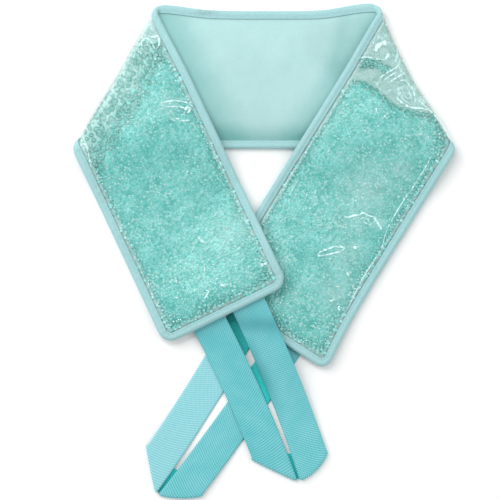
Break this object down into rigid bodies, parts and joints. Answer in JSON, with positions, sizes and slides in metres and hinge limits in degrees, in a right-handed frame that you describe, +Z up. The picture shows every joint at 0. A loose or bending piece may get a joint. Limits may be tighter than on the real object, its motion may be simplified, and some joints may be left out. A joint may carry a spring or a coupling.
{
  "type": "hot and cold neck wrap",
  "caption": "Soft U-shaped neck wrap laid flat: a bead-filled clear pouch on plush backing with bound edges, both arms folded forward, each ending in a flat webbing loop.",
  "frame": {"origin": "middle of the back section's underside, on the surface that the wrap lies on", "axes": "+X along the back section towards the picture's right, -Y along the two folded arms to the loops, +Z up from the table"},
  "size_m": [0.3531, 0.4549, 0.0255],
  "materials": {
    "plush": "short plush pile",
    "beads": "wet gel beads",
    "film": "clear soft film",
    "tape": "fine twill",
    "webbing": "woven webbing"
  },
  "bodies": {
    "root": {"plush_backing": "plush", "bead_fill": "beads", "clear_front_film": "film", "edge_binding": "tape", "strap_loop_left": "webbing", "strap_loop_right": "webbing"}
  },
  "joints": []
}
